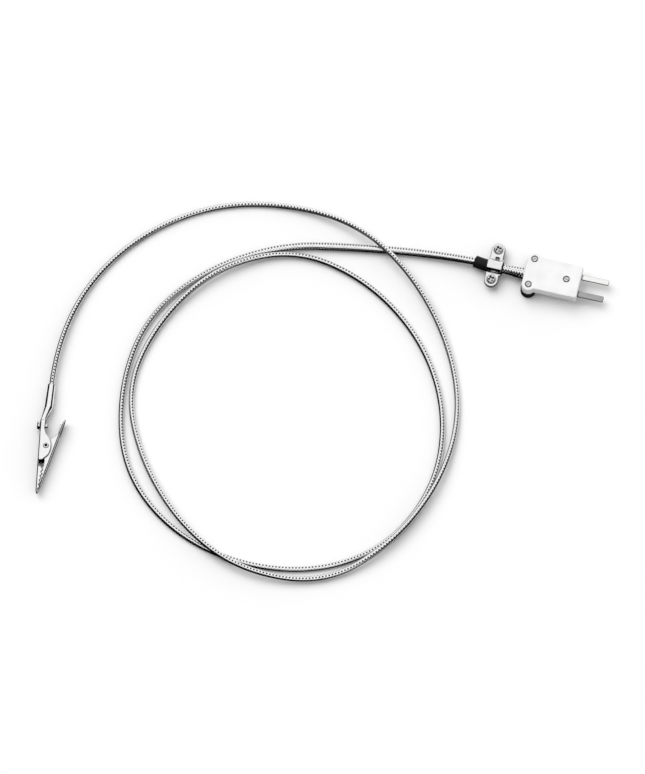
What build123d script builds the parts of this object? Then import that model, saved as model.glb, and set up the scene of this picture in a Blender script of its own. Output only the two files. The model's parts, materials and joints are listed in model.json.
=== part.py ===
# Clip thermocouple probe: a flat-blade plug, a braided lead with its cable clamp, and a
# spring clip with the measuring junction. Millimetres, +Z up. The origin is the middle of
# the plug's underside, on the surface that the probe lies on. +X runs along the blades.
from build123d import *

import os
from math import cos, pi, radians, sin, tan

# Plug housing
SPLIT_Z = 3.8  # where the two halves meet, and the height of the lead's axis
SHELL_TOP = 8.0
BODY_REAR = -12.2
BODY_FRONT = 11.9
BODY_HALF_WIDTH = 7.6
FRONT_CORNER = 0.8
RIM = 0.45  # rounding of the moulded edges
EAR_X = -9.3
EAR_Y = 6.0
EAR_RADIUS = 2.9
COVER_REAR = -5.4
COVER_FRONT = 10.3
COVER_HALF_WIDTH = 6.0
CAVITY_REAR = -4.4
CAVITY_TOP = 6.7
CAVITY_FLOOR = 1.2
SHELL_CAVITY = (9.9, 6.2)  # front end and half width
COVER_CAVITY = (9.2, 5.0)
BOSS_RADIUS = 2.1
COUNTERBORE_RADIUS = 1.55
COUNTERBORE_DEPTH = 1.1

# Blades and terminals
BLADE_Y = 3.96
POSITIVE_TIP = 23.85
NEGATIVE_TIP = 23.2
BLADE_THICKNESS = 0.8
POSITIVE_WIDTH = 2.35
NEGATIVE_WIDTH = 2.6
PAD_RADIUS = 1.7
TERMINAL_X = 2.5
WIRE_RADIUS = 0.25
INSULATION_RADIUS = 0.6
WASHER_THICKNESS = 0.4

# Fasteners
FRONT_SCREW_X = 6.0
HOUSING_SHANK = 0.9
HOUSING_HEAD = 1.15
EAR_NUT_RADIUS = 3.3
TERMINAL_SHANK = 0.9

# Lead
THICK_RADIUS = 1.7  # the lead near the plug, where its braid is loose
THIN_RADIUS = 1.15
CORE_RADIUS = 2.15  # the braid gathered under the sleeve
TAIL_RADIUS = 2.6  # the braid where it enters the plug
TAIL_END = -4.6
SLEEVE_RADIUS = 2.6
SLEEVE_END = -21.8
SLEEVE_BEND = (-29.6, 0, SPLIT_Z)
SLEEVE_BEND_RADIUS = 20
BEND_SHARE = 0.45  # how much of the shorter run each bend takes

# Cable clamp
CLAMP_X = -25.6
CLAMP_Y = 0.8  # the wings sit a little to one side
CLAMP_SPACING = 14.0
STRAP_THICKNESS = 0.5
SADDLE_BORE = 2.65
SADDLE_LENGTH = 6.4
STRAP_WIDTH = 5.5
BRACKET_WIDTH = 5.9
WING_GAP = 0.3
SADDLE_SHIFT = 0.15

# Clip, in its own frame: x across it towards the lever, y along it from the jaws' tip
CLIP_TIP = (-191.3, -146.2)
CLIP_ANGLE = 96.7  # from +X to the clip's length
SHEET = 0.5
CHEEK_HALF = 2.6  # half the width over the fixed jaw's cheeks
INNER_HALF = 1.95  # half the width over the moving jaw's cheeks
RIVET_HEAD = 0.35
CLIP_Z = CHEEK_HALF + RIVET_HEAD
PIVOT = (1.0, 21.1)
RIVET_RADIUS = 0.85
PIVOT_CLEARANCE = 0.05
TOOTH_PITCH = 1.9
TOOTH_COUNT = 5
TOOTH_DEPTH = 0.7
TOOTH_START = (0.2, 1.5)
TOOTH_SLOPE = 0.055
JAW_GAP = 0.25
BEND_RADIUS = 0.8  # outside the bends between a jaw's back and its cheeks
FLARE_START = 33.0
BARREL_START = 39.5
BARREL_END = 50.0
BARREL_BORE = 1.25
CLIP_SCREW_Y = 31.0
SPRING_WIRE = 0.3
SPRING_RADIUS = 1.35

# The lead's route from the sleeve's far end to the clip's barrel: two loose turns, the
# second over the first, and then over the start of the lead on its way to the clip.
ROUTE = [
    (-34.2, 0.7, 3.65),
    (-51.2, 0.6, 2.3),
    (-84.5, -3.1, 1.75),
    (-117.5, -10.2, 1.75),
    (-146.4, -29.4, 1.2),
    (-165.8, -56.8, 1.2),
    (-169.6, -91.0, 1.2),
    (-158.8, -124.8, 1.2),
    (-135.0, -148.9, 1.2),
    (-101.5, -157.5, 1.2),
    (-67.3, -153.2, 1.2),
    (-40.4, -133.2, 1.2),
    (-27.4, -101.3, 1.2),
    (-31.0, -67.1, 1.2),
    (-49.1, -38.7, 1.2),
    (-76.8, -17.2, 1.2),
    (-110.2, -11.6, 1.6),
    (-141.2, -28.6, 3.4),
    (-160.4, -56.3, 1.6),
    (-164.7, -89.6, 1.2),
    (-152.5, -121.1, 1.2),
    (-128.3, -146.4, 6.5),
    (-97.8, -161.1, 6.5),
    (-63.4, -158.3, 1.2),
    (-38.2, -135.2, 3.0),
    (-24.6, -103.2, 3.0),
    (-24.2, -69.7, 1.2),
    (-35.9, -37.9, 1.2),
    (-57.8, -12.0, 7.6),
    (-86.7, 4.0, 7.6),
    (-118.6, 8.8, 1.2),
    (-149.9, 1.4, 1.2),
    (-175.9, -18.2, 1.2),
    (-193.6, -45.9, 1.2),
    (-199.37, -77.47, 2.95),
    (-197.13, -96.54, 2.95),
]
NARROWING = 2  # the lead narrows halfway along the run that starts at this point
NARROWING_SPAN = (0.46, 0.54)


def save(builder, label):
    """Label a finished piece and write it to its own STEP file."""
    builder.part.label = label
    export_step(builder.part, f"parts/{label}.step")


def add_cylinders(spots, radius, bottom, top, mode=Mode.ADD):
    """Upright cylinders at the same height on several spots."""
    with BuildSketch(Plane.XY.offset(bottom)) as circles:
        with Locations(*spots):
            Circle(radius)
    extrude(circles.sketch, amount=top - bottom, mode=mode)


def add_screws(spots, seat, head_radius, head_height, shank_radius, shank_end):
    """Round-headed screws standing in holes, their heads resting at height seat."""
    add_cylinders(spots, shank_radius, shank_end, seat)
    add_cylinders(spots, head_radius, seat, seat + head_height)


def cut_recess(spots, top, depth, length, width, turns):
    """A slot, or a cross of two slots, in the head of each screw."""
    with BuildSketch(Plane.XY.offset(top)) as slots:
        with Locations(*spots):
            for turn in turns:
                Rectangle(length, width, rotation=turn)
    extrude(slots.sketch, amount=-depth, mode=Mode.SUBTRACT)


os.makedirs("parts", exist_ok=True)

EARS = [(EAR_X, EAR_Y), (EAR_X, -EAR_Y)]
TERMINALS = [(TERMINAL_X, BLADE_Y), (TERMINAL_X, -BLADE_Y)]
FRONT_SCREW = [(FRONT_SCREW_X, 0)]
BLADE_BOTTOM = SPLIT_Z - BLADE_THICKNESS / 2
BLADE_TOP = SPLIT_Z + BLADE_THICKNESS / 2
HEAD_SEAT = SHELL_TOP - COUNTERBORE_DEPTH


def cut_blade_slots(first_x):
    """Cut the two blades' way out of the plug, from first_x through the front."""
    with BuildSketch(Plane.YZ.offset(first_x)) as slots:
        with Locations((BLADE_Y, SPLIT_Z)):
            Rectangle(POSITIVE_WIDTH, BLADE_THICKNESS)
        with Locations((-BLADE_Y, SPLIT_Z)):
            Rectangle(NEGATIVE_WIDTH, BLADE_THICKNESS)
    extrude(slots.sketch, amount=BODY_FRONT + 1 - first_x, mode=Mode.SUBTRACT)


# ---------------------------------------------------------------- plug housing
with BuildPart() as plug_top_shell:
    with BuildSketch(Plane.XY.offset(SPLIT_Z)):
        with Locations(((EAR_X + BODY_FRONT) / 2, 0)):
            Rectangle(BODY_FRONT - EAR_X, 2 * BODY_HALF_WIDTH)
        with Locations(((BODY_REAR + EAR_X) / 2, 0)):
            Rectangle(EAR_X - BODY_REAR, 2 * EAR_Y)
        with Locations(*EARS):
            Circle(EAR_RADIUS)
    extrude(amount=SHELL_TOP - SPLIT_Z)
    upright = plug_top_shell.edges().filter_by(Axis.Z)
    fillet(upright.sort_by(Axis.X)[-2:], FRONT_CORNER)
    fillet(plug_top_shell.edges().filter_by(Axis.Z).filter_by_position(Axis.X, -7.4, -6.4), RIM)
    fillet(plug_top_shell.faces().sort_by(Axis.Z)[-1].edges(), RIM)
    with BuildSketch(Plane.XY.offset(SPLIT_Z)):
        with Locations(((CAVITY_REAR + SHELL_CAVITY[0]) / 2, 0)):
            Rectangle(SHELL_CAVITY[0] - CAVITY_REAR, 2 * SHELL_CAVITY[1])
        with Locations(*FRONT_SCREW):
            Circle(BOSS_RADIUS, mode=Mode.SUBTRACT)
    extrude(amount=CAVITY_TOP - SPLIT_Z, mode=Mode.SUBTRACT)
    with BuildSketch(Plane.YZ.offset(BODY_REAR - 1)):
        with Locations((0, SPLIT_Z)):
            Circle(TAIL_RADIUS)
    extrude(amount=CAVITY_REAR - BODY_REAR + 1.5, mode=Mode.SUBTRACT)
    cut_blade_slots(SHELL_CAVITY[0] - 1)
    with Locations(*[(x, y, SHELL_TOP) for x, y in EARS + FRONT_SCREW]):
        CounterBoreHole(HOUSING_SHANK, COUNTERBORE_RADIUS, COUNTERBORE_DEPTH)
save(plug_top_shell, "plug_top_shell")

with BuildPart() as plug_bottom_cover:
    with BuildSketch():
        with Locations(((COVER_REAR + COVER_FRONT) / 2, 0)):
            Rectangle(COVER_FRONT - COVER_REAR, 2 * COVER_HALF_WIDTH)
    extrude(amount=SPLIT_Z)
    fillet(plug_bottom_cover.edges().filter_by(Axis.Z), FRONT_CORNER)
    chamfer(plug_bottom_cover.faces().sort_by(Axis.Z)[0].edges(), RIM)
    with BuildSketch(Plane.XY.offset(CAVITY_FLOOR)):
        with Locations(((CAVITY_REAR + COVER_CAVITY[0]) / 2, 0)):
            Rectangle(COVER_CAVITY[0] - CAVITY_REAR, 2 * COVER_CAVITY[1])
        with Locations(*FRONT_SCREW):
            Circle(BOSS_RADIUS, mode=Mode.SUBTRACT)
        with Locations(*TERMINALS):
            Circle(PAD_RADIUS, mode=Mode.SUBTRACT)
    extrude(amount=SPLIT_Z, mode=Mode.SUBTRACT)
    add_cylinders(TERMINALS, PAD_RADIUS + 0.02, BLADE_BOTTOM, SPLIT_Z + 1, Mode.SUBTRACT)
    add_cylinders(TERMINALS, TERMINAL_SHANK, CAVITY_FLOOR + 0.6, SPLIT_Z, Mode.SUBTRACT)
    cut_blade_slots(TERMINAL_X)
    with BuildSketch(Plane.YZ.offset(COVER_REAR - 1)):
        with Locations((0, SPLIT_Z)):
            Circle(TAIL_RADIUS)
    extrude(amount=CAVITY_REAR - COVER_REAR + 1.5, mode=Mode.SUBTRACT)
    add_cylinders(FRONT_SCREW, 1.4, 1.6, 3.4, Mode.SUBTRACT)
    add_cylinders(FRONT_SCREW, HOUSING_SHANK, 3.0, SPLIT_Z + 1, Mode.SUBTRACT)
save(plug_bottom_cover, "plug_bottom_cover")

# ---------------------------------------------------------------- housing fasteners
with BuildPart() as ear_screws:
    add_screws(EARS, HEAD_SEAT, HOUSING_HEAD, COUNTERBORE_DEPTH - 0.1, HOUSING_SHANK, 0.8)
    fillet(ear_screws.faces().filter_by(Axis.Z).group_by(Axis.Z)[-1].edges(), 0.35)
    cut_recess(EARS, SHELL_TOP, 0.4, 1.4, 0.22, [35])
save(ear_screws, "ear_screws")

with BuildPart() as front_screw:
    add_screws(FRONT_SCREW, HEAD_SEAT, HOUSING_HEAD, COUNTERBORE_DEPTH - 0.1, HOUSING_SHANK, 1.8)
    fillet(front_screw.faces().filter_by(Axis.Z).group_by(Axis.Z)[-1].edges(), 0.35)
    cut_recess(FRONT_SCREW, SHELL_TOP, 0.4, 1.4, 0.22, [-20])
save(front_screw, "front_screw")

with BuildPart() as ear_nuts:
    add_cylinders(EARS, EAR_NUT_RADIUS, 0, SPLIT_Z)
    rims = ear_nuts.faces().filter_by(Axis.Z).edges()
    chamfer(rims, 0.4)
    add_cylinders(EARS, HOUSING_SHANK, -1, SPLIT_Z + 1, Mode.SUBTRACT)
save(ear_nuts, "ear_nuts")

with BuildPart() as front_nut:
    add_cylinders(FRONT_SCREW, 1.4, 1.6, 3.4)
    add_cylinders(FRONT_SCREW, HOUSING_SHANK, 1, 4, Mode.SUBTRACT)
save(front_nut, "front_nut")

# ---------------------------------------------------------------- blades and terminals
for label, side, width, blade_tip in (
    ("blade_positive", 1, POSITIVE_WIDTH, POSITIVE_TIP),
    ("blade_negative", -1, NEGATIVE_WIDTH, NEGATIVE_TIP),
):
    with BuildPart() as blade:
        with BuildSketch(Plane.XY.offset(BLADE_BOTTOM)):
            with Locations(((TERMINAL_X + blade_tip) / 2, side * BLADE_Y)):
                Rectangle(blade_tip - TERMINAL_X, width)
            with Locations((TERMINAL_X, side * BLADE_Y)):
                Circle(PAD_RADIUS)
                Circle(TERMINAL_SHANK, mode=Mode.SUBTRACT)
        extrude(amount=BLADE_THICKNESS)
        fillet(blade.edges().filter_by(Axis.Z).sort_by(Axis.X)[-2:], 0.5)
        long_edges = blade.edges().filter_by(Axis.X).filter_by(lambda e: e.length > 10)
        fillet(long_edges, 0.12)
    save(blade, label)

WASHER_BOTTOM = BLADE_TOP + 2 * WIRE_RADIUS + 0.02
WASHER_TOP = WASHER_BOTTOM + WASHER_THICKNESS
with BuildPart() as terminal_washers:
    add_cylinders(TERMINALS, PAD_RADIUS, WASHER_BOTTOM, WASHER_TOP)
    add_cylinders(TERMINALS, TERMINAL_SHANK, BLADE_TOP, SHELL_TOP, Mode.SUBTRACT)
save(terminal_washers, "terminal_washers")

with BuildPart() as terminal_screws:
    add_screws(TERMINALS, WASHER_TOP, 1.5, 1.2, TERMINAL_SHANK, CAVITY_FLOOR + 0.9)
    cut_recess(TERMINALS, WASHER_TOP + 1.2, 0.6, 4, 0.4, [60])
save(terminal_screws, "terminal_screws")

WIRE_Z = BLADE_TOP + WIRE_RADIUS + 0.01
for name, side in (("positive", 1), ("negative", -1)):
    leaving = Vector(TAIL_END, side * 0.7, SPLIT_Z + 0.1)
    rising = Vector(-1.6, side * 1.9, WIRE_Z)
    hooking = Vector(0.6, side * (BLADE_Y - 1.4), WIRE_Z)
    ending = Vector(3.8, side * (BLADE_Y - 1.4), WIRE_Z)
    with BuildPart() as conductor:
        with BuildLine() as wire:
            FilletPolyline(leaving, rising, hooking, ending, radius=1.5)
        with BuildSketch(Plane(origin=leaving, z_dir=rising - leaving)):
            Circle(WIRE_RADIUS)
        sweep(path=wire.line)
    save(conductor, f"conductor_{name}")
    with BuildPart() as insulation:
        with BuildSketch(Plane(origin=leaving, z_dir=rising - leaving)):
            Circle(INSULATION_RADIUS)
            Circle(WIRE_RADIUS, mode=Mode.SUBTRACT)
        extrude(amount=2.6)
        square_end = Plane(origin=leaving, z_dir=(1, 0, 0))
        split(bisect_by=square_end, keep=Keep.TOP)
    save(insulation, f"insulation_{name}")

# ---------------------------------------------------------------- braid, sleeve, clamp
with BuildPart() as heat_shrink_sleeve:
    with BuildLine() as sleeve_line:
        FilletPolyline((SLEEVE_END, 0, SPLIT_Z), SLEEVE_BEND, ROUTE[0], radius=SLEEVE_BEND_RADIUS)
    with BuildSketch(Plane(origin=sleeve_line.line @ 0, z_dir=sleeve_line.line % 0)):
        Circle(SLEEVE_RADIUS)
        Circle(CORE_RADIUS, mode=Mode.SUBTRACT)
    sweep(path=sleeve_line.line)
save(heat_shrink_sleeve, "heat_shrink_sleeve")

with BuildPart() as braid_tail:
    with BuildSketch(Plane(origin=sleeve_line.line @ 0, z_dir=sleeve_line.line % 0)):
        Circle(CORE_RADIUS)
    sweep(path=sleeve_line.line)
    with BuildSketch(Plane.YZ.offset(SLEEVE_END)):
        with Locations((0, SPLIT_Z)):
            Circle(CORE_RADIUS)
    with BuildSketch(Plane.YZ.offset(BODY_REAR)):
        with Locations((0, SPLIT_Z)):
            Circle(TAIL_RADIUS)
    loft()
    with BuildSketch(Plane.YZ.offset(BODY_REAR)):
        with Locations((0, SPLIT_Z)):
            Circle(TAIL_RADIUS)
    extrude(amount=TAIL_END - BODY_REAR)
save(braid_tail, "braid_tail")

CLAMP_SCREWS = [(CLAMP_X, CLAMP_Y + side * CLAMP_SPACING / 2) for side in (1, -1)]


def clamp_half(label, up, width, relief):
    """One half of the clamp: a half-round saddle with a flat wing on each side."""
    reach = CLAMP_SPACING / 2 + width / 2 + 0.3
    inner = WING_GAP / 2
    outer = inner + STRAP_THICKNESS
    saddle_middle = CLAMP_X + SADDLE_SHIFT
    with BuildPart() as half:
        with BuildSketch(Plane.YZ.offset(saddle_middle - SADDLE_LENGTH / 2)):
            with Locations((0, SPLIT_Z)):
                Circle(SADDLE_BORE + STRAP_THICKNESS)
            with Locations((CLAMP_Y, SPLIT_Z + up * (inner + outer) / 2)):
                Rectangle(2 * reach, STRAP_THICKNESS)
            with Locations((0, SPLIT_Z)):
                Circle(SADDLE_BORE, mode=Mode.SUBTRACT)
            with Locations((CLAMP_Y, SPLIT_Z - up * (5 - inner))):
                Rectangle(2 * reach, 10, mode=Mode.SUBTRACT)
        extrude(amount=SADDLE_LENGTH)
        with BuildSketch(Plane.XY):
            with Locations((CLAMP_X, CLAMP_Y)):
                SlotOverall(2 * reach, width, rotation=90)
            with Locations((saddle_middle, 0)):
                RectangleRounded(SADDLE_LENGTH, 2 * (SADDLE_BORE + 1.1), 0.4)
        extrude(amount=SHELL_TOP + 1, mode=Mode.INTERSECT)
        add_cylinders(CLAMP_SCREWS, 0.95, 0, SHELL_TOP, Mode.SUBTRACT)
        if relief:
            with BuildSketch(Plane.XY.offset(SPLIT_Z)):
                with Locations((CLAMP_X + 0.5, 3.95)):
                    SlotOverall(1.9, 1.2)
            extrude(amount=3, mode=Mode.SUBTRACT)
    save(half, label)


clamp_half("clamp_strap", 1, STRAP_WIDTH, True)
clamp_half("clamp_bracket", -1, BRACKET_WIDTH, False)

WING_TOP = SPLIT_Z + WING_GAP / 2 + STRAP_THICKNESS
with BuildPart() as clamp_screws:
    add_screws(CLAMP_SCREWS, WING_TOP, 1.85, 1.15, 0.95, 2.2)
    fillet(clamp_screws.faces().filter_by(Axis.Z).group_by(Axis.Z)[-1].edges(), 0.6)
    cut_recess(CLAMP_SCREWS, WING_TOP + 1.2, 0.85, 2.7, 1.0, [30, 120])
save(clamp_screws, "clamp_screws")

# ---------------------------------------------------------------- free lead
points = [Vector(*point) for point in ROUTE]
radii = []
for before, corner, after in zip(points, points[1:], points[2:]):
    run_in = corner - before
    run_out = after - corner
    half_turn = radians(run_in.get_angle(run_out)) / 2
    radii.append(BEND_SHARE * min(run_in.length, run_out.length) / tan(half_turn))
print("lead bend radii", [round(radius, 1) for radius in radii])

narrowing_run = points[NARROWING + 1] - points[NARROWING]
thick_end_point = points[NARROWING] + narrowing_run * NARROWING_SPAN[0]
thin_start_point = points[NARROWING] + narrowing_run * NARROWING_SPAN[1]

with BuildPart() as cable_thick_end:
    with BuildLine() as thick_line:
        FilletPolyline(*points[: NARROWING + 1], thick_end_point, radius=radii[:NARROWING])
    with BuildSketch(Plane(origin=thick_line.line @ 0, z_dir=thick_line.line % 0)):
        Circle(THICK_RADIUS)
    sweep(path=thick_line.line)
    with BuildSketch(Plane(origin=thick_end_point, z_dir=narrowing_run)):
        Circle(THICK_RADIUS)
    with BuildSketch(Plane(origin=thin_start_point, z_dir=narrowing_run)):
        Circle(THIN_RADIUS)
    loft()
save(cable_thick_end, "cable_thick_end")

with BuildPart() as cable:
    with BuildLine() as thin_line:
        FilletPolyline(thin_start_point, *points[NARROWING + 1 :], radius=radii[NARROWING:])
    with BuildSketch(Plane(origin=thin_line.line @ 0, z_dir=thin_line.line % 0)):
        Circle(THIN_RADIUS)
    sweep(path=thin_line.line)
save(cable, "cable")
thick_length = sum(edge.length for edge in thick_line.edges())
thin_length = sum(edge.length for edge in thin_line.edges())
narrowing_length = (thin_start_point - thick_end_point).length
print("lead length", round(thick_length + narrowing_length + thin_length, 1))
print("lead volume ratio", round(cable.part.volume / (pi * THIN_RADIUS**2 * thin_length), 4))

# ---------------------------------------------------------------- clip
along = Vector(cos(radians(CLIP_ANGLE)), sin(radians(CLIP_ANGLE)), 0)
across = Vector(along.Y, -along.X, 0)
tip = Vector(*CLIP_TIP, CLIP_Z)
SIDE = Plane(origin=tip, x_dir=across, z_dir=(0, 0, 1))
PLAN = Plane(origin=tip, x_dir=along, z_dir=across)


def clip_point(x, y, z=0.0):
    """A point of the clip's own frame, in the probe's frame."""
    return tip + across * x + along * y + Vector(0, 0, z)


def clip_section(x, y):
    """A plane across the clip's length, facing its tail: across and up."""
    return Plane(origin=clip_point(x, y), x_dir=across, z_dir=along)


def back_line(y):
    """The fixed jaw's outer edge."""
    return -0.95 - 0.054 * y


def lever_line(y):
    """The lever's outer edge."""
    return 0.2 + 0.2225 * y


def tooth_edge(shift):
    """The zigzag where the jaws meet, from the tip inwards."""
    edge = []
    for step in range(2 * TOOTH_COUNT + 1):
        y = TOOTH_START[1] + step * TOOTH_PITCH / 2
        bite = TOOTH_DEPTH / 2 if step % 2 else -TOOTH_DEPTH / 2
        edge.append((TOOTH_START[0] + TOOTH_SLOPE * (y - TOOTH_START[1]) + bite + shift, y))
    return edge


def bent_sheet(stations, line, inward):
    """What a jaw's bent sheet takes in: its half width along it, with round bends between
    the back and the cheeks."""
    with BuildPart() as envelope:
        for near, far in zip(stations, stations[1:]):
            for y, half in (near, far):
                with BuildSketch(clip_section(line(y) + inward * REACH / 2, y)):
                    RectangleRounded(REACH, 2 * half, BEND_RADIUS)
            loft(ruled=True)
    return envelope.part


def clear_hollow(outline, stations):
    """Hollow a jaw out: a side outline, as wide as the jaw less the sheet's thickness."""
    near = [(y, SHEET - half) for y, half in stations]
    far = [(y, half - SHEET) for y, half in reversed(stations)]
    with BuildPart() as hollow:
        with BuildSketch(SIDE):
            with BuildLine():
                Polyline(*outline, close=True)
            make_face()
        extrude(amount=REACH, both=True)
        with BuildSketch(PLAN):
            with BuildLine():
                Polyline(*near, *far, close=True)
            make_face()
        extrude(amount=REACH, both=True, mode=Mode.INTERSECT)
    add(hollow.part, mode=Mode.SUBTRACT)


def drill_pivot(radius):
    """Drill both cheeks for the rivet."""
    with BuildSketch(SIDE.offset(-REACH / 2)) as bore:
        with Locations(PIVOT):
            Circle(radius)
    extrude(bore.sketch, amount=REACH, mode=Mode.SUBTRACT)


FIXED_PLAN = [(-1, 1.1), (0.8, 1.25), (11.0, 2.0), (15.0, CHEEK_HALF)]
FIXED_PLAN += [(26.0, CHEEK_HALF), (29.0, 1.8), (FLARE_START + 0.3, 1.75)]
MOVING_PLAN = [(-1, 1.1), (0.8, 1.25), (10.8, INNER_HALF), (27.0, INNER_HALF)]
MOVING_PLAN += [(28.6, CHEEK_HALF), (32.6, CHEEK_HALF), (34.4, 1.6), (36.0, 1.2)]
REACH = 12  # more than the clip measures across

fixed_teeth = tooth_edge(-JAW_GAP / 2)
moving_teeth = tooth_edge(JAW_GAP / 2)
last_tooth = fixed_teeth[-1][1]

FIXED_HOLLOW = [
    (back_line(1.3) + SHEET, 1.3),
    (back_line(FLARE_START + 1) + SHEET, FLARE_START + 1),
    (REACH, FLARE_START + 1),
    (REACH, 1.3),
]
MOVING_HOLLOW = [
    (lever_line(1.6) - SHEET, 1.6),
    (lever_line(36) - SHEET, 36),
    (-REACH, 36),
    (-REACH, 1.6),
]

with BuildPart() as clip_fixed_jaw:
    with BuildSketch(SIDE):
        with BuildLine():
            Polyline(
                (0.3, 26.6),
                (-0.6, 29.2),
                (-0.6, FLARE_START + 0.3),
                (back_line(FLARE_START + 0.3), FLARE_START + 0.3),
                (back_line(0.9), 0.9),
                (-0.55, 0.0),
                (-0.05, 0.15),
                *fixed_teeth,
                (0.35, last_tooth + 0.35),
                (back_line(11.8) + SHEET, 11.8),
                (back_line(14.4) + SHEET, 14.4),
                (0.2, 14.6),
                (2.3, 16.9),
            )
            ThreePointArc((2.3, 16.9), (3.15, 21.3), (0.3, 26.6))
        make_face()
    extrude(amount=CHEEK_HALF + 1, both=True)
    add(bent_sheet(FIXED_PLAN, back_line, 1), mode=Mode.INTERSECT)
    clear_hollow(FIXED_HOLLOW, FIXED_PLAN)
    drill_pivot(RIVET_RADIUS)
    arm_middle = (back_line(FLARE_START) - 0.6) / 2
    arm_depth = -0.6 - back_line(FLARE_START)
    with BuildSketch(clip_section(arm_middle, FLARE_START)):
        RectangleRounded(arm_depth + 0.12, 3.62, BEND_RADIUS)
    with BuildSketch(clip_section(0, BARREL_START)):
        Circle(1.8)
    loft()
    with BuildSketch(clip_section(0, BARREL_START)):
        Circle(1.8)
    with BuildSketch(clip_section(0, BARREL_END)):
        Circle(1.62)
    loft()
    with BuildSketch(clip_section(arm_middle, FLARE_START - 0.2)):
        Circle(arm_depth / 2 - SHEET)
    with BuildSketch(clip_section(0, BARREL_START)):
        Circle(BARREL_BORE)
    loft(mode=Mode.SUBTRACT)
    with BuildSketch(clip_section(0, BARREL_START)):
        Circle(BARREL_BORE)
    extrude(amount=BARREL_END, mode=Mode.SUBTRACT)
    with BuildSketch(Plane(origin=clip_point(arm_middle, FLARE_START), x_dir=along, z_dir=across)):
        with BuildLine():
            near_side = [(-0.5, -0.8), (1.0, -0.9), (4.2, -0.35)]
            far_side = [(4.2, 0.35), (1.0, 0.9), (-0.5, 0.8)]
            Polyline(*near_side, *far_side, close=True)
        make_face()
    extrude(amount=REACH, mode=Mode.SUBTRACT)
    with BuildSketch(Plane(origin=clip_point(-REACH / 2, CLIP_SCREW_Y), z_dir=across)):
        Circle(1.0)
    extrude(amount=REACH / 2, mode=Mode.SUBTRACT)
save(clip_fixed_jaw, "clip_fixed_jaw")

LOBE = 2.1  # radius of the moving jaw's cheeks round the pivot
with BuildPart() as clip_moving_jaw:
    with BuildSketch(SIDE):
        with BuildLine():
            Polyline(
                (1.15, 0.9),
                (0.45, 0.2),
                (0.1, 0.5),
                *moving_teeth,
                (1.15, last_tooth + 0.5),
                (1.2, 14.6),
                (-0.6, 18.6),
                (-0.6, 23.0),
                (2.6, 24.4),
                (5.5, 27.3),
                (lever_line(31.2) - 1.3, 31.2),
                (lever_line(31.6) - SHEET, 31.6),
                (lever_line(33.8) - SHEET + 0.1, 33.8),
                (lever_line(34.4), 34.4),
                (lever_line(33.9) + 0.15, 33.9),
                (lever_line(31.5), 31.5),
                (lever_line(4.2), 4.2),
                close=True,
            )
        make_face()
        with Locations(PIVOT):
            Circle(LOBE)
    extrude(amount=CHEEK_HALF + 1, both=True)
    add(bent_sheet(MOVING_PLAN, lever_line, -1), mode=Mode.INTERSECT)
    clear_hollow(MOVING_HOLLOW, MOVING_PLAN)
    drill_pivot(RIVET_RADIUS + PIVOT_CLEARANCE)
save(clip_moving_jaw, "clip_moving_jaw")

with BuildPart() as clip_pivot_rivet:
    with BuildSketch(SIDE.offset(-CLIP_Z)):
        with Locations(PIVOT):
            Circle(1.35)
    extrude(amount=RIVET_HEAD)
    with BuildSketch(SIDE.offset(-CHEEK_HALF)):
        with Locations(PIVOT):
            Circle(RIVET_RADIUS)
    extrude(amount=2 * CHEEK_HALF)
    with BuildSketch(SIDE.offset(CHEEK_HALF)):
        with Locations(PIVOT):
            Circle(1.2)
    extrude(amount=RIVET_HEAD)
    fillet(clip_pivot_rivet.faces().sort_by(Axis.Z)[-1].edges(), 0.25)
    with BuildSketch(SIDE.offset(CHEEK_HALF + RIVET_HEAD)):
        with Locations(PIVOT):
            Circle(0.6)
    extrude(amount=-1.2, mode=Mode.SUBTRACT)
save(clip_pivot_rivet, "clip_pivot_rivet")

# The spring's turns lie side by side round the rivet.
pivot_axis = Axis(origin=clip_point(*PIVOT), direction=(0, 0, 1))
pivot_section = Plane(origin=clip_point(*PIVOT), x_dir=across, z_dir=-along)
with BuildPart() as clip_spring:
    with BuildSketch(pivot_section):
        with Locations(*[(SPRING_RADIUS, z) for z in (-0.84, -0.28, 0.28)]):
            Circle(SPRING_WIRE)
    revolve(axis=pivot_axis)
    fixed_leg_start = clip_point(PIVOT[0] - SPRING_RADIUS, PIVOT[1], -0.84)
    fixed_leg_end = clip_point(back_line(14.0) + SHEET + 0.35, 14.0, -0.84)
    with BuildSketch(Plane(origin=fixed_leg_start, z_dir=fixed_leg_end - fixed_leg_start)):
        Circle(SPRING_WIRE)
    extrude(amount=(fixed_leg_end - fixed_leg_start).length)
save(clip_spring, "clip_spring")

with BuildPart() as clip_spring_leg:
    moving_leg_start = clip_point(PIVOT[0] + 1.2, PIVOT[1] - 0.5, 1.0)
    moving_leg_end = clip_point(lever_line(13.0) - SHEET - 0.35, 13.0, 1.0)
    with BuildSketch(Plane(origin=moving_leg_start, z_dir=moving_leg_end - moving_leg_start)):
        Circle(SPRING_WIRE - 0.02)
    extrude(amount=(moving_leg_end - moving_leg_start).length)
save(clip_spring_leg, "clip_spring_leg")

with BuildPart() as clip_screw:
    screw_seat = Plane(origin=clip_point(back_line(CLIP_SCREW_Y) - 0.12, CLIP_SCREW_Y), z_dir=across)
    with BuildSketch(screw_seat):
        Circle(1.8)
    extrude(amount=-1.2)
    fillet(clip_screw.faces().sort_by(Axis(origin=tip, direction=across))[0].edges(), 0.5)
    with BuildSketch(screw_seat):
        Circle(1.0)
    extrude(amount=3.3)
    with BuildSketch(screw_seat.offset(-1.2)):
        Rectangle(0.5, 4)
    extrude(amount=0.6, mode=Mode.SUBTRACT)
save(clip_screw, "clip_screw")

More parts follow.
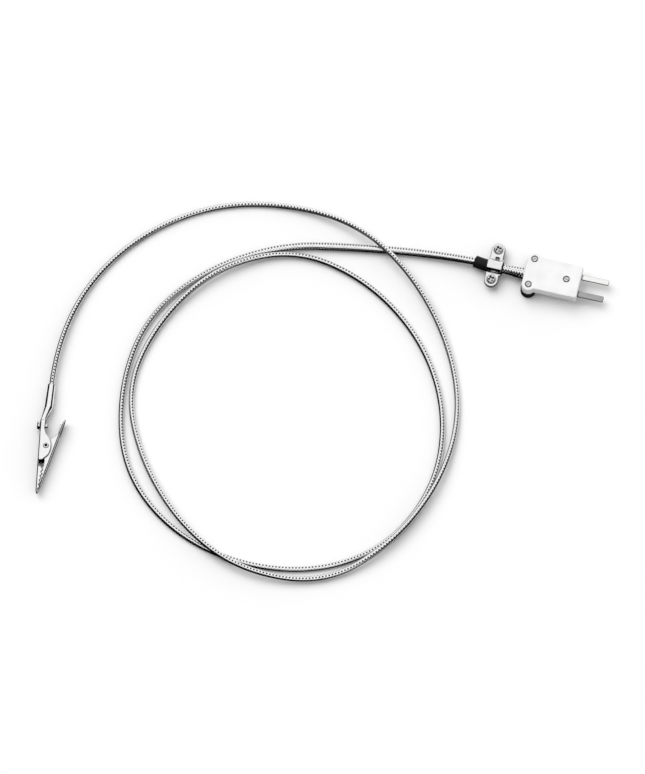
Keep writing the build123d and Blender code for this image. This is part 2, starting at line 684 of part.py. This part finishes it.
CABLE_TIP_START = 39.6
with BuildPart() as cable_tip:
    with BuildSketch(clip_section(0, CABLE_TIP_START)):
        Circle(THIN_RADIUS)
    extrude(amount=BARREL_END - CABLE_TIP_START)
save(cable_tip, "cable_tip")

BEAD = (-1.65, 32.7)
with BuildPart() as junction_wires:
    for level in (-0.45, 0.45):
        wire_start = clip_point(-0.1, CABLE_TIP_START, level)
        wire_end = clip_point(BEAD[0], BEAD[1] + 0.55, level * 0.6)
        with BuildSketch(Plane(origin=wire_start, z_dir=wire_end - wire_start)):
            Circle(0.2)
        extrude(amount=(wire_end - wire_start).length)
save(junction_wires, "junction_wires")

with BuildPart() as measuring_junction:
    with BuildSketch(clip_section(BEAD[0], BEAD[1] - 0.3)):
        Circle(0.55)
    extrude(amount=0.8)
    fillet(measuring_junction.edges(), 0.3)
save(measuring_junction, "measuring_junction")
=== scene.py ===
"""Looks of the clip thermocouple probe: its woven lead, its materials and the light."""

import json
import math

import bpy
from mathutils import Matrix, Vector


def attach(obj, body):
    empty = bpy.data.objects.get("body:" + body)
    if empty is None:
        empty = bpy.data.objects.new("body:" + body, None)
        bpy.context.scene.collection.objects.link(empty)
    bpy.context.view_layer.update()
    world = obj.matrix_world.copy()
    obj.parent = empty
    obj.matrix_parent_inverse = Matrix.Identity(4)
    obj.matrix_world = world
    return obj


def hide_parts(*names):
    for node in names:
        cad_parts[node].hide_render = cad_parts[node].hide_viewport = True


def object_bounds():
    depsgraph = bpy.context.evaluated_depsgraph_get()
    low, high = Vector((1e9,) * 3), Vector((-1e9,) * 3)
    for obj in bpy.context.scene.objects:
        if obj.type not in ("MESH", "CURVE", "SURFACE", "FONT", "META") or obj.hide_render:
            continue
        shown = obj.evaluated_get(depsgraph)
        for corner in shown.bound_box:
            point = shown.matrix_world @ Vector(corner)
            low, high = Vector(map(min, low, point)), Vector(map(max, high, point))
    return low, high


MM = 0.001
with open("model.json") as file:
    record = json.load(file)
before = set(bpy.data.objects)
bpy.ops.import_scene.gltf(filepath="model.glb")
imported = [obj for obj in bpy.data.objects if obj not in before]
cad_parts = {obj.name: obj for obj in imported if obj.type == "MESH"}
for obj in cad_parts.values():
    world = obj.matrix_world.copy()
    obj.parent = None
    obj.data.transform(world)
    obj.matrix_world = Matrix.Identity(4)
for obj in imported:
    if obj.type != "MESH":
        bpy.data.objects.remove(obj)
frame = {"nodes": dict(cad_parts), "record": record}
NODES = frame["nodes"]
cad_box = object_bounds()

# ------------------------------------------------------------------ camera
VIEW_AZIMUTH = math.radians(13.4)
VIEW_ELEVATION = math.radians(68)
VIEW_TARGET = Vector((-84.7, -69.5, 0)) * MM
VIEW_HEIGHT = 330.8 * MM  # what the picture's long side takes in
LENS = 1000  # long, so that the view is nearly parallel
SENSOR = 36


def add_camera():
    """A view from the front and high up, with a very long lens."""
    data = bpy.data.cameras.new("view")
    data.lens = LENS
    data.sensor_width = SENSOR
    camera = bpy.data.objects.new("view", data)
    bpy.context.collection.objects.link(camera)
    level = math.cos(VIEW_ELEVATION)
    back = Vector(
        (
            math.sin(VIEW_AZIMUTH) * level,
            -math.cos(VIEW_AZIMUTH) * level,
            math.sin(VIEW_ELEVATION),
        )
    )
    distance = VIEW_HEIGHT * LENS / SENSOR
    camera.location = VIEW_TARGET + back * distance
    camera.rotation_mode = "QUATERNION"
    camera.rotation_quaternion = (-back).to_track_quat("-Z", "Y")
    data.clip_end = distance * 2
    bpy.context.scene.camera = camera


add_camera()

# ------------------------------------------------------------------ the lead's line
# Millimetres, from the sleeve to the clip: two loose turns lying on the surface, each hump
# only as high as the strand it passes over.
ROUTE = [
    (-34.2, 0.7, 3.65),
    (-51.2, 0.6, 2.3),
    (-84.6, -3.9, 1.8),
    (-117.9, -10.6, 1.8),
    (-146.9, -29.6, 1.2),
    (-165.7, -57.1, 1.2),
    (-168.6, -91.7, 1.2),
    (-158.6, -126.1, 1.2),
    (-134.0, -148.5, 1.2),
    (-100.7, -157.9, 1.2),
    (-66.2, -152.9, 1.2),
    (-39.6, -133.8, 1.2),
    (-26.8, -101.5, 1.2),
    (-31.2, -67.2, 1.2),
    (-49.1, -38.0, 1.2),
    (-77.8, -17.3, 1.2),
    (-111.4, -10.9, 2.0),
    (-141.6, -27.7, 3.6),
    (-160.0, -56.9, 1.6),
    (-166, -89.9, 1.2),
    (-152.2, -120.6, 1.2),
    (-128.1, -147.3, 4.1),
    (-98.5, -161.3, 4.1),
    (-63.0, -157.9, 1.4),
    (-38.7, -134.2, 3.9),
    (-25.2, -101.9, 3.6),
    (-24.1, -68.7, 1.2),
    (-36.4, -37.9, 1.2),
    (-58.7, -12.0, 5.2),
    (-85.8, 5.0, 5.2),
    (-117, 9.1, 1.2),
    (-148.3, 1.9, 1.2),
    (-174.7, -17.3, 1.2),
    (-192.8, -44.6, 1.2),
    (-199.37, -77.47, 2.95),
    (-197.13, -96.54, 2.95),
]

# The braid over the plug's end of the lead, through the clamp and the sleeve.
TAIL_ROUTE = [
    (-4.8, 0, 3.8),
    (-14, 0, 3.8),
    (-22, 0, 3.8),
    (-30, 0, 3.8),
    (-34.2, 0.7, 3.65),
]


def smooth_line(name, route):
    """Points of the NURBS curve that the route controls, close together, in metres."""
    curve = bpy.data.curves.new(name, "CURVE")
    curve.dimensions = "3D"
    spline = curve.splines.new("NURBS")
    spline.points.add(len(route) - 1)
    for point, place in zip(spline.points, route):
        point.co = (*(Vector(place) * MM), 1)
    spline.order_u = 3
    spline.use_endpoint_u = True
    spline.resolution_u = 40
    holder = bpy.data.objects.new(name, curve)
    line = bpy.data.meshes.new_from_object(holder)
    points = [vertex.co.copy() for vertex in line.vertices]
    bpy.data.objects.remove(holder)
    bpy.data.meshes.remove(line)
    return points


def evenly(points, step):
    """Stations about a step apart along the points: (distance, place, direction)."""
    distances = [0.0]
    for before, after in zip(points, points[1:]):
        distances.append(distances[-1] + (after - before).length)
    count = round(distances[-1] / step)
    stations = []
    piece = 0
    for number in range(count + 1):
        distance = distances[-1] * number / count
        while piece < len(points) - 2 and distances[piece + 1] < distance:
            piece += 1
        run = points[piece + 1] - points[piece]
        along = (distance - distances[piece]) / run.length
        stations.append((distance, points[piece] + run * along, run.normalized()))
    return stations


# ------------------------------------------------------------------ woven tubes
def woven_tube(name, points, radius_at, pitch_at, twist_at, carriers, relief, columns, step):
    """A braided tube round the points. Its attribute "weave" counts the carriers round it
    and the pitches along it, for the material's wires; the mesh has each crossing's swell."""
    stations = evenly(points, step)
    vertices = []
    pitches = []
    side = stations[0][2].cross(Vector((0, 0, 1))).normalized()
    passed = 0.0
    last = 0.0
    for distance, place, direction in stations:
        passed += (distance - last) / pitch_at(distance)
        last = distance
        pitches.append(passed)
        side = (side - direction * side.dot(direction)).normalized()
        up = side.cross(direction)
        for column in range(columns):
            turn = column / columns
            right = turn * carriers + passed
            left = turn * carriers - passed
            swell = math.sin(math.pi * right) ** 2 * math.sin(math.pi * left) ** 2
            radius = radius_at(distance) + relief * (swell - 0.5)
            angle = 2 * math.pi * turn + twist_at(distance)
            vertices.append(place + (side * math.cos(angle) + up * math.sin(angle)) * radius)
    faces = []
    weave = []
    for ring in range(len(stations) - 1):
        start = ring * columns
        low = pitches[ring]
        high = pitches[ring + 1]
        for column in range(columns):
            following = (column + 1) % columns
            faces.append(
                (start + column, start + following, start + columns + following, start + columns + column)
            )
            near = column / columns * carriers
            far = (column + 1) / columns * carriers
            for corner in ((near, low), (far, low), (far, high), (near, high)):
                weave.extend((*corner, 0.0))
    mesh = bpy.data.meshes.new(name)
    mesh.from_pydata(vertices, [], faces)
    mesh.attributes.new("weave", "FLOAT_VECTOR", "CORNER").data.foreach_set("vector", weave)
    mesh.shade_smooth()
    tube = bpy.data.objects.new(name, mesh)
    bpy.context.collection.objects.link(tube)
    return tube


def eased(value, start, end):
    """0 before start, 1 after end, and smooth between."""
    share = min(max((value - start) / (end - start), 0), 1)
    return share * share * (3 - 2 * share)


THICK_RADIUS = 1.68 * MM
THIN_RADIUS = 1.14 * MM
NARROWS_FROM, NARROWS_TO = 58 * MM, 104 * MM


def lead_radius(distance):
    """The loose braid by the sleeve draws down to the slim lead."""
    return THICK_RADIUS + (THIN_RADIUS - THICK_RADIUS) * eased(distance, NARROWS_FROM, NARROWS_TO)


def lead_pitch(distance):
    """The loose braid is pushed together, the slim one drawn out."""
    loose = 1.2 * MM
    drawn = 1.42 * MM
    return loose + (drawn - loose) * eased(distance, NARROWS_FROM, NARROWS_TO)


def lead_twist(distance):
    """The braid's rows wander a little round the lead, once in each of its turns."""
    return math.radians(22) * math.cos(2 * math.pi * (distance - 250 * MM) / (390 * MM))


def tail_radius(distance):
    """Flared where it enters the plug, gathered under the clamp and the sleeve."""
    flared = 2.52 * MM
    gathered = 2.0 * MM
    closed = 1.72 * MM
    radius = flared + (gathered - flared) * eased(distance, 8 * MM, 16.5 * MM)
    return radius + (closed - gathered) * eased(distance, 26 * MM, 29 * MM)


lead_points = smooth_line("lead_line", ROUTE)
lead = woven_tube(
    "woven_lead",
    lead_points,
    lead_radius,
    lead_pitch,
    lead_twist,
    carriers=4,
    relief=0.08 * MM,
    columns=16,
    step=0.21 * MM,
)
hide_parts("cable", "cable_thick_end")
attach(lead, "probe")

tail = woven_tube(
    "woven_tail",
    smooth_line("tail_line", TAIL_ROUTE),
    tail_radius,
    lambda distance: 1.2 * MM,
    lambda distance: 0.0,
    carriers=6,
    relief=0.2 * MM,
    columns=60,
    step=0.15 * MM,
)
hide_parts("braid_tail")
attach(tail, "probe")


# ------------------------------------------------------------------ material building
class Shader:
    """A Principled material being put together, with short calls for its nodes."""

    def __init__(self, name, colour, metallic=0.0, roughness=0.5):
        self.material = bpy.data.materials.new(name)
        self.material.use_nodes = True
        self.tree = self.material.node_tree
        self.surface = self.tree.nodes["Principled BSDF"]
        self.put("Base Color", (*colour, 1))
        self.put("Metallic", metallic)
        self.put("Roughness", roughness)

    def put(self, socket, value):
        self.feed(self.surface.inputs[socket], value)

    def feed(self, socket, value):
        if isinstance(value, bpy.types.NodeSocket):
            self.tree.links.new(value, socket)
        else:
            socket.default_value = value

    def maths(self, operation, *values):
        node = self.tree.nodes.new("ShaderNodeMath")
        node.operation = operation
        for socket, value in zip(node.inputs, values):
            self.feed(socket, value)
        return node.outputs[0]

    def mapped(self, value, low, high, to_low, to_high):
        node = self.tree.nodes.new("ShaderNodeMapRange")
        for socket, given in zip(node.inputs, (value, low, high, to_low, to_high)):
            self.feed(socket, given)
        return node.outputs[0]

    def mixed(self, share, first, second):
        node = self.tree.nodes.new("ShaderNodeMix")
        node.data_type = "RGBA"
        self.feed(node.inputs["Factor"], share)
        self.feed(node.inputs["A"], first if not isinstance(first, tuple) else (*first, 1))
        self.feed(node.inputs["B"], second if not isinstance(second, tuple) else (*second, 1))
        return node.outputs["Result"]

    def noise(self, size, detail=3.0, stretch=(1, 1, 1)):
        """Noise with grains of that size in metres, drawn out along an axis by stretch."""
        place = self.tree.nodes.new("ShaderNodeTexCoord").outputs["Object"]
        mapping = self.tree.nodes.new("ShaderNodeMapping")
        self.feed(mapping.inputs["Vector"], place)
        mapping.inputs["Scale"].default_value = [1 / amount for amount in stretch]
        node = self.tree.nodes.new("ShaderNodeTexNoise")
        self.feed(node.inputs["Vector"], mapping.outputs[0])
        node.inputs["Scale"].default_value = 1 / size
        node.inputs["Detail"].default_value = detail
        return node.outputs["Fac"]

    def edges(self, width):
        """1 near edges, 0 on flat ground: for edges that wear, and for painted dark reflections beside
        edges.
        """
        rounded = self.tree.nodes.new("ShaderNodeBevel")
        rounded.samples = 4
        rounded.inputs["Radius"].default_value = width
        flat = self.tree.nodes.new("ShaderNodeNewGeometry").outputs["Normal"]
        dot = self.tree.nodes.new("ShaderNodeVectorMath")
        dot.operation = "DOT_PRODUCT"
        self.feed(dot.inputs[0], rounded.outputs[0])
        self.feed(dot.inputs[1], flat)
        return self.mapped(dot.outputs["Value"], 0.99, 0.8, 0.0, 1.0)

    def recesses(self, reach):
        """1 on open ground, falling to 0 in slots and corners."""
        node = self.tree.nodes.new("ShaderNodeAmbientOcclusion")
        node.samples = 8
        node.inputs["Distance"].default_value = reach
        return node.outputs["AO"]

    def bump(self, height, depth, strength=1.0, edge=0.0):
        """Bump of that depth in metres, over corners rounded off by edge."""
        node = self.tree.nodes.new("ShaderNodeBump")
        node.inputs["Strength"].default_value = strength
        node.inputs["Distance"].default_value = depth
        self.feed(node.inputs["Height"], height)
        if edge:
            rounded = self.tree.nodes.new("ShaderNodeBevel")
            rounded.samples = 6
            rounded.inputs["Radius"].default_value = edge
            self.feed(node.inputs["Normal"], rounded.outputs[0])
        self.put("Normal", node.outputs[0])


def braid_material(name, bright, painted_gap_shade, hole, wire_count=5):
    """Crossing bands of fine wires, with painted shade in a hole at each corner of the weave, in a
    smaller one between and in the seams between the wires. The hole is (half size in carriers, half size
    in pitches)."""
    shader = Shader(name, bright, metallic=1.0, roughness=0.22)
    weave = shader.tree.nodes.new("ShaderNodeAttribute")
    weave.attribute_name = "weave"
    split = shader.tree.nodes.new("ShaderNodeSeparateXYZ")
    shader.feed(split.inputs[0], weave.outputs["Vector"])
    round_it, along_it = split.outputs[0], split.outputs[1]
    right = shader.maths("ADD", round_it, along_it)
    left = shader.maths("SUBTRACT", round_it, along_it)
    cells = shader.maths("ADD", shader.maths("FLOOR", right), shader.maths("FLOOR", left))
    over = shader.maths("FLOORED_MODULO", cells, 2.0)
    swap = shader.maths("SUBTRACT", 1.0, over)
    across = shader.maths(
        "ADD", shader.maths("MULTIPLY", right, swap), shader.maths("MULTIPLY", left, over)
    )
    turns = shader.maths("MULTIPLY", across, wire_count * math.pi)
    wires = shader.maths("ABSOLUTE", shader.maths("SINE", turns))

    def hole_at(shift, share):
        """0 in the holes of one set of rows, 1 beyond them."""
        sizes = []
        for place, half in zip((round_it, along_it), hole):
            off = shader.maths("PINGPONG", shader.maths("ADD", place, shift), 0.5)
            sizes.append(shader.maths("POWER", shader.maths("DIVIDE", off, half * share), 2.0))
        apart = shader.maths("SQRT", shader.maths("ADD", *sizes))
        return shader.mapped(apart, 0.75, 1.2, 0.0, 1.0)

    cover = shader.maths("MULTIPLY", hole_at(0.0, 1.0), hole_at(0.5, 0.35))
    patches = shader.noise(2.2 * MM, 2.0)
    tarnish = shader.mapped(patches, 0.35, 0.7, 0.0, 0.15)
    metal = shader.mixed(tarnish, bright, tuple(0.7 * part for part in bright))
    # Painted shade: the seams between the wires of a band are darkened towards the near-black colour.
    painted_seam_shade = shader.mapped(wires, 0.1, 0.5, 0.16, 0.0)
    metal = shader.mixed(painted_seam_shade, metal, painted_gap_shade)
    # Painted shade: the holes of the weave take the near-black colour.
    shader.put("Base Color", shader.mixed(cover, painted_gap_shade, metal))
    shader.put("Roughness", shader.mapped(patches, 0.3, 0.7, 0.17, 0.27))
    height = shader.maths("ADD", cover, shader.maths("MULTIPLY", wires, 0.15))
    shader.bump(height, 0.03 * MM, 0.3)
    return shader.material


# Near black, painted into plated metal as painted shade in recesses and as a painted dark reflection
# beside edges.
PAINTED_DARK = (0.01, 0.01, 0.01)


def plated_material(name, colour, roughness, stretch=(1, 1, 1), rounding=0.1, painted_edge_reflection=0.0):
    """Bright plated metal: faint unevenness, fine scratches and edges worn a little duller, and
    painted shade near black in its recesses and corners. The scratches are drawn out by stretch,
    corners are rounded off by rounding millimetres, and the last argument is how strongly a
    painted dark reflection blackens the margins beside the edges."""
    shader = Shader(name, colour, metallic=1.0)
    cloud = shader.noise(3.5 * MM, 3.0)
    fine = shader.noise(0.25 * MM, 4.0, stretch)
    worn = shader.edges(0.12 * MM)
    rough = shader.maths(
        "ADD",
        shader.mapped(cloud, 0.3, 0.7, roughness * 0.7, roughness * 1.4),
        shader.maths("MULTIPLY", shader.maths("MULTIPLY", worn, fine), 0.18),
    )
    shader.put("Roughness", rough)
    dull = tuple(0.78 * part for part in colour)
    metal = shader.mixed(shader.mapped(fine, 0.45, 0.75, 0, 0.5), colour, dull)
    # Painted dark reflection: near edges the base colour is blackened, as strongly as the last argument
    # says.
    if painted_edge_reflection:
        painted_dark_margin = shader.maths("MULTIPLY", shader.edges(0.6 * MM), painted_edge_reflection)
        metal = shader.mixed(painted_dark_margin, metal, PAINTED_DARK)
    # Painted shade: where ambient occlusion finds recesses and corners, the base colour goes near black.
    painted_recess_shade = shader.mapped(shader.recesses(1.2 * MM), 0.5, 0.85, 0.0, 1.0)
    shader.put("Base Color", shader.mixed(painted_recess_shade, PAINTED_DARK, metal))
    height = shader.maths("ADD", shader.maths("MULTIPLY", cloud, 2.0), fine)
    shader.bump(height, 0.004 * MM, 0.6, edge=rounding * MM)
    return shader.material


def moulded_material(name, colour, worn_colour, roughness):
    """Moulded plastic: a fine spark-eroded grain, flow clouding and rubbed edges."""
    shader = Shader(name, colour)
    cloud = shader.noise(6 * MM, 3.0)
    fine = shader.noise(0.18 * MM, 3.0)
    worn = shader.maths("MULTIPLY", shader.edges(0.16 * MM), shader.mapped(fine, 0.3, 0.6, 0.3, 1.0))
    shaded = tuple(0.93 * part for part in colour)
    body = shader.mixed(shader.mapped(cloud, 0.35, 0.65, 0.0, 1.0), colour, shaded)
    shader.put("Base Color", shader.mixed(shader.maths("MULTIPLY", worn, 0.5), body, worn_colour))
    shader.put("Roughness", shader.mapped(cloud, 0.3, 0.7, roughness * 0.85, roughness * 1.15))
    shader.bump(fine, 0.006 * MM, 0.5, edge=0.12 * MM)
    return shader.material


def shrunk_material(name):
    """Heat-shrink tube drawn down over a braid: a soft sheen with the weave showing through."""
    black = (0.008, 0.008, 0.008)
    shader = Shader(name, black)
    shader.put("Specular IOR Level", 0.15)
    folds = shader.noise(0.9 * MM, 2.0, (3, 1, 1))
    fine = shader.noise(0.15 * MM, 3.0)
    shader.put("Roughness", shader.mapped(fine, 0.3, 0.7, 0.26, 0.44))
    dust = shader.mapped(fine, 0.6, 0.8, 0.0, 0.4)
    shader.put("Base Color", shader.mixed(dust, black, (0.03, 0.03, 0.03)))
    height = shader.maths("ADD", folds, shader.maths("MULTIPLY", fine, 0.2))
    shader.bump(height, 0.1 * MM, 0.5, edge=0.15 * MM)
    return shader.material


def sleeving_material(name, colour):
    """Woven glass sleeving on the two wires."""
    shader = Shader(name, colour, roughness=0.8)
    weave = shader.noise(0.12 * MM, 2.0, (1, 3, 1))
    shaded = tuple(0.6 * part for part in colour)
    shader.put("Base Color", shader.mixed(weave, shaded, colour))
    shader.bump(weave, 0.04 * MM, 0.8)
    return shader.material


ROLLED = (12, 1, 1)  # scratches drawn out along the strip

MATERIALS = {
    "housing": moulded_material("white_moulding", (0.85, 0.85, 0.85), (0.9, 0.9, 0.9), 0.42),
    "housing_under": moulded_material("white_cover", (0.78, 0.78, 0.77), (0.86, 0.86, 0.85), 0.46),
    # The last number of each plated strip, and of the clamp's and clip's platings, blackens their edge
    # margins as a painted dark reflection.
    "blade_bright": plated_material("bright_strip", (0.93, 0.93, 0.92), 0.16, ROLLED, 0.3, 0.6),
    "blade_dull": plated_material("dull_strip", (0.4, 0.4, 0.4), 0.24, ROLLED, 0.3, 0.6),
    "screw_steel": plated_material("screw_plating", (0.72, 0.72, 0.72), 0.14),
    "insulation_one": sleeving_material("pale_sleeving", (0.75, 0.73, 0.7)),
    "insulation_two": sleeving_material("grey_sleeving", (0.2, 0.2, 0.21)),
    "nut_black": moulded_material("black_moulding", (0.018, 0.018, 0.018), (0.1, 0.1, 0.1), 0.34),
    "insert_brass": plated_material("turned_brass", (0.7, 0.52, 0.26), 0.22),
    # The braid's near-black colour is painted shade in the weave's holes and seams.
    "braid": braid_material("woven_wire", (0.92, 0.92, 0.92), (0.004, 0.004, 0.004), (0.23, 0.26)),
    "sleeve": shrunk_material("shrunk_sleeve"),
    "clamp_steel": plated_material("clamp_plating", (0.85, 0.85, 0.85), 0.1, rounding=0.3, painted_edge_reflection=0.4),
    "clip_chrome": plated_material("clip_plating", (0.9, 0.9, 0.9), 0.08, rounding=0.35, painted_edge_reflection=0.9),
    "spring_steel": plated_material("spring_wire", (0.35, 0.35, 0.36), 0.25),
}


def paint(piece, slot):
    """Give a piece one of the record's material slots."""
    piece.data.materials.clear()
    piece.data.materials.append(MATERIALS[slot])


for subpart in frame["record"]["subparts"]:
    paint(NODES[subpart["node"]], subpart["material_slot"])
paint(lead, "braid")
paint(tail, "braid")

# ------------------------------------------------------------------ floor and light
FLOOR_SIZE = 6.0
FLOOR_DROP = 0.05 * MM  # keeps the floor off the probe's underside


def add_floor():
    """A white surface, which the metal does not mirror: it shows the tent round the probe."""
    half = FLOOR_SIZE / 2
    mesh = bpy.data.meshes.new("floor")
    corners = [(-half, -half, 0), (half, -half, 0), (half, half, 0), (-half, half, 0)]
    mesh.from_pydata(corners, [], [(0, 1, 2, 3)])
    floor = bpy.data.objects.new("floor", mesh)
    bpy.context.collection.objects.link(floor)
    floor.location.z = cad_box[0].z - FLOOR_DROP
    shader = Shader("floor", (0.9, 0.9, 0.9), roughness=0.9)
    shader.put("Specular IOR Level", 0.0)
    floor.visible_glossy = False
    mesh.materials.append(shader.material)


# The tent that the metal mirrors is bright to the right, behind and above, and black on the
# other side; the black begins at TENT_EDGE of the way along the axis.
TENT_AXIS = Vector((0.534, 0.634, 0.559)).normalized()
TENT_EDGE = (-0.16, 0.02)
TENT_BRIGHT = 1.0
PANEL_AXIS = Vector((1, 0, 0.38)).normalized()  # a black panel standing on the right
PANEL_EDGE = (0.72, 0.8)
SKY_STRENGTH = 0.89  # at its brightest, along the axis; it falls to nothing opposite
KEY_STRENGTH = 1.9
KEY_DIRECTION = Vector((0.46, -0.29, -0.84))
KEY_SPREAD = math.radians(55)


def add_light():
    """A sky and a broad soft key for the matt surfaces, and the tent, which only rays that
    leave a mirroring surface see, for the metal."""
    world = bpy.data.worlds.new("studio")
    bpy.context.scene.world = world
    world.use_nodes = True
    nodes, links = world.node_tree.nodes, world.node_tree.links
    direction = nodes.new("ShaderNodeTexCoord").outputs["Generated"]

    def along(axis, span, values, smooth=True):
        """How far a direction points along an axis, and that share mapped to the values."""
        facing = nodes.new("ShaderNodeVectorMath")
        facing.operation = "DOT_PRODUCT"
        links.new(direction, facing.inputs[0])
        facing.inputs[1].default_value = axis
        ramp = nodes.new("ShaderNodeMapRange")
        if smooth:
            ramp.interpolation_type = "SMOOTHSTEP"
        links.new(facing.outputs["Value"], ramp.inputs["Value"])
        for socket, value in zip(ramp.inputs[1:5], (*span, *values)):
            socket.default_value = value
        return ramp.outputs[0]

    tent = along(TENT_AXIS, TENT_EDGE, (0.0, TENT_BRIGHT))
    panel = along(PANEL_AXIS, PANEL_EDGE, (1.0, 0.0))
    sky = along(TENT_AXIS, (-1.0, 1.0), (0.0, SKY_STRENGTH), smooth=False)
    mirrored = nodes.new("ShaderNodeMath")
    mirrored.operation = "MULTIPLY"
    links.new(tent, mirrored.inputs[0])
    links.new(panel, mirrored.inputs[1])
    choice = nodes.new("ShaderNodeMix")
    links.new(nodes.new("ShaderNodeLightPath").outputs["Is Glossy Ray"], choice.inputs["Factor"])
    links.new(sky, choice.inputs["A"])
    links.new(mirrored.outputs[0], choice.inputs["B"])
    links.new(choice.outputs["Result"], nodes["Background"].inputs["Strength"])
    nodes["Background"].inputs["Color"].default_value = (1, 1, 1, 1)
    key_data = bpy.data.lights.new("key", "SUN")
    key_data.energy = KEY_STRENGTH
    key_data.angle = KEY_SPREAD
    key = bpy.data.objects.new("key", key_data)
    key.rotation_mode = "QUATERNION"
    key.rotation_quaternion = KEY_DIRECTION.to_track_quat("-Z", "Y")
    key.visible_glossy = False
    bpy.context.collection.objects.link(key)


add_floor()
add_light()
bpy.context.scene.view_settings.view_transform = "Standard"
